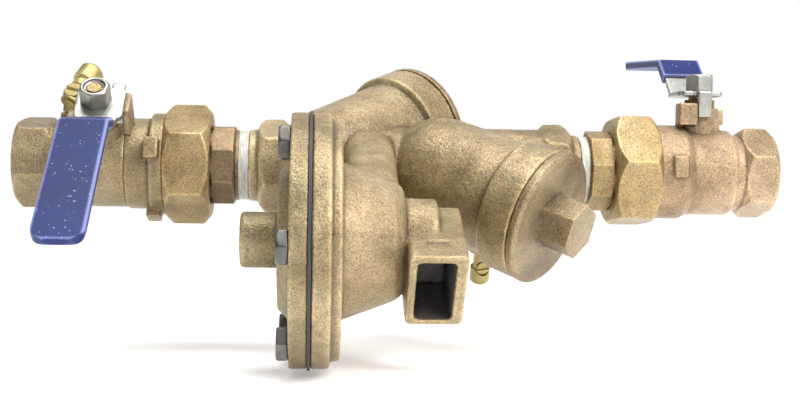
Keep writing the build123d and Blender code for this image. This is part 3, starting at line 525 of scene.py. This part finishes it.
def raise_arrow(points):
    """Raises a plain flow arrow on top of the run."""
    x, y, z = points.T
    tail, neck, tip = ARROW_X
    shaft, barb = ARROW_HALF_WIDTHS
    half = np.where(x < neck, shaft, barb * (tip - x) / (tip - neck))
    arrow = (x > tail) & (x < tip) & (np.abs(y - ARROW_Y) < half) & (z > ARROW_ABOVE)
    points[arrow] += np.array(ARROW_LIFT)


def press_nail(points):
    """Presses the thumbnail recess into the top of the vent, deeper towards its back."""
    x, drop, height = in_casting(points)
    centre, front = NAIL_AT
    back = front - drop
    nail = (np.hypot(x - centre, back) < NAIL_RADIUS) & (back > 0) & (height > NAIL_ABOVE)
    least, slope = NAIL_DEPTH
    points[nail] -= np.outer(least + slope * back[nail], body_point(0.0, 0.0, 1.0))


def body_marks(points):
    """The two plain marks on the main casting."""
    points = points.copy()
    raise_arrow(points)
    press_nail(points)
    return points


def rounded_tip(number, end, half_width, radius):
    """Returns a shape that rounds the two corners at a lever's far end."""
    origin, axes = valve_axes(number)

    def shape(points):
        local = (points - origin) @ axes.T
        out = -local[:, 1] - (end - radius)
        side = local[:, 0] - GRIP_SHIFT
        wide = np.abs(side) - (half_width - radius)
        reach = np.hypot(out, wide)
        cut = (out > 0) & (wide > 0) & (reach > radius)
        scale = radius / reach[cut]
        local[cut, 1] = -(end - radius + out[cut] * scale)
        turned = half_width - radius + wide[cut] * scale
        local[cut, 0] = GRIP_SHIFT + np.sign(side[cut]) * turned
        return local @ axes + origin

    return shape


def castings():
    remeshed("body", *BODY_CAST, locked=body_inside, shape=body_marks, shaded=vent_inside)
    remeshed("relief_cover", *COVER_CAST)
    for node in ("inlet_valve_body", "inlet_union_end", "outlet_valve_body", "outlet_hex_end"):
        remeshed(node, *VALVE_CAST, locked=bore(SOCKET_BORE))
    for number, node in enumerate(("check_1_cap", "check_2_cap")):
        remeshed(node, *CAP_CAST, locked=cap_shank(number))


def unions():
    for side in ("inlet", "outlet"):
        remeshed(side + "_union_nut", *UNION_FORGED, locked=bore(NUT_BORE))
        remeshed(side + "_tailpiece", *UNION_FORGED, locked=bore(TAIL_BORE))


def levers():
    for number, side in enumerate(("inlet", "outlet")):
        remeshed(side + "_lever", *LEVER_PRESSED, shape=rounded_tip(number, *LEVER_TIP))
        remeshed(side + "_grip", *GRIP_DIPPED, shape=rounded_tip(number, *GRIP_TIP))
        remeshed(side + "_lever_nut", *LEVER_NUT)
        remeshed(side + "_packing_nut", *PACKING_NUT)


def bolts_and_cocks():
    remeshed("cover_bolts", *COVER_BOLT)
    for side in ("inlet", "lower"):
        remeshed(side + "_test_cock", *COCK_TURNED)
        remeshed(side + "_test_cock_screw", *COCK_TURNED)


castings()
unions()
levers()
bolts_and_cocks()


# ---------------------------------------------------------------- camera, floor and light
WHITE = (1.0, 1.0, 1.0, 1.0)
CAMERA_AT = (0.1466, -0.640, 0.0)
CAMERA_TURNS = (3.9, 1.56, 0.92)  # yaw, pitch down and roll, in degrees
FLOOR_Z = -0.0935  # just under the rim of the relief cover
FLOOR_REACH = 14.0
SKY_FROM = (0.50, 0.55, 0.67)  # the direction of the bright side of the studio
SKY_RAMP = (("From Min", -0.8), ("From Max", 0.7), ("To Min", 0.05), ("To Max", 0.90))
CENTRE = (0.19, -0.02, 0.0)


def stand_camera(location, yaw, pitch, roll):
    """A camera that looks along +Y, then turned, pitched down and rolled."""
    level = math.cos(pitch)
    forward = Vector((math.sin(yaw) * level, math.cos(yaw) * level, -math.sin(pitch)))
    right = Vector((math.cos(yaw), -math.sin(yaw), 0.0))
    up = right.cross(forward)
    across = right * math.cos(roll) + up * math.sin(roll)
    upright = up * math.cos(roll) - right * math.sin(roll)
    turn = Matrix((across, upright, -forward)).transposed().to_4x4()
    camera = bpy.data.objects.new("camera", bpy.data.cameras.new("camera"))
    bpy.context.scene.collection.objects.link(camera)
    camera.data.sensor_width = 36.0
    camera.data.lens = 56.7
    camera.data.clip_start = 0.01
    camera.data.clip_end = 50.0
    camera.matrix_world = Matrix.Translation(location) @ turn
    bpy.context.scene.camera = camera


def lay_floor():
    mesh = bpy.data.meshes.new("floor")
    near, far = -FLOOR_REACH, FLOOR_REACH
    corners = [(near, near, 0), (far, near, 0), (far, far, 0), (near, far, 0)]
    mesh.from_pydata(corners, [], [(0, 1, 2, 3)])
    mesh.materials.append(paper("paper"))
    floor = bpy.data.objects.new("floor", mesh)
    floor.location = (0, 0, FLOOR_Z)
    bpy.context.scene.collection.objects.link(floor)


def light_world():
    """Lights the object from a soft bright side, and shows the camera plain white."""
    world = bpy.data.worlds.new("studio")
    bpy.context.scene.world = world
    world.use_nodes = True
    nodes, links = world.node_tree.nodes, world.node_tree.links
    glow = nodes["Background"]
    direction = nodes.new("ShaderNodeTexCoord")
    towards = nodes.new("ShaderNodeVectorMath")
    towards.operation = "DOT_PRODUCT"
    towards.inputs[1].default_value = SKY_FROM
    level = nodes.new("ShaderNodeMapRange")
    for name, value in SKY_RAMP:
        level.inputs[name].default_value = value
    links.new(direction.outputs["Generated"], towards.inputs[0])
    links.new(towards.outputs["Value"], level.inputs["Value"])
    glow.inputs["Color"].default_value = WHITE
    links.new(level.outputs["Result"], glow.inputs["Strength"])
    backdrop = nodes.new("ShaderNodeBackground")
    backdrop.inputs["Color"].default_value = WHITE
    seen = nodes.new("ShaderNodeLightPath")
    choice = nodes.new("ShaderNodeMixShader")
    links.new(seen.outputs["Is Camera Ray"], choice.inputs["Fac"])
    links.new(glow.outputs["Background"], choice.inputs[1])
    links.new(backdrop.outputs["Background"], choice.inputs[2])
    links.new(choice.outputs["Shader"], nodes["World Output"].inputs["Surface"])


def softbox(name, location, size, power, colour=(1, 1, 1)):
    """A rectangular lamp that points at the middle of the object."""
    lamp = bpy.data.lights.new(name, "AREA")
    lamp.shape = "RECTANGLE"
    lamp.size, lamp.size_y = size
    lamp.energy = power
    lamp.color = colour
    obj = bpy.data.objects.new(name, lamp)
    obj.location = location
    aim = Vector(CENTRE) - Vector(location)
    obj.rotation_euler = aim.to_track_quat("-Z", "Y").to_euler()
    bpy.context.scene.collection.objects.link(obj)


stand_camera(CAMERA_AT, *(math.radians(turn) for turn in CAMERA_TURNS))
lay_floor()
bpy.context.scene.view_settings.view_transform = "Standard"
light_world()
softbox("key", (0.72, -0.80, 0.62), (0.6, 0.5), power=11.0, colour=(1.0, 0.99, 0.97))
softbox("top", (0.18, -0.15, 1.1), (0.8, 0.4), power=11.0)
